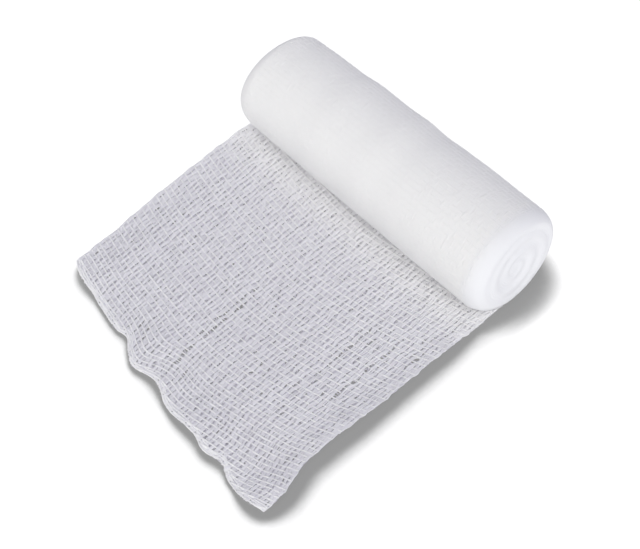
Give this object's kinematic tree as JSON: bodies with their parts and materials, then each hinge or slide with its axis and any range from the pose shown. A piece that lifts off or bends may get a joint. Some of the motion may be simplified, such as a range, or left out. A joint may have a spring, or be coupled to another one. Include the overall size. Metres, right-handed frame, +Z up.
{
  "type": "rolled gauze dressing",
  "caption": "Roll of white open-weave gauze bandage lying on its side, with its last stretch of cloth laid out flat in front of it.",
  "frame": {"origin": "on the surface that the dressing lies on, under the middle of the roll, on the roll's flat spot", "axes": "+X along the roll, +Y away from the loose end, which runs towards -Y, and +Z up"},
  "size_m": [0.0807, 0.088, 0.0259],
  "materials": {
    "wound_gauze": "matt bleached cotton, many layers thick, nearly opaque white",
    "single_gauze": "matt bleached cotton, one open layer, reads a little greyer than the roll"
  },
  "bodies": {
    "root": {"wound_roll": "wound_gauze", "loose_end": "single_gauze"}
  },
  "joints": []
}
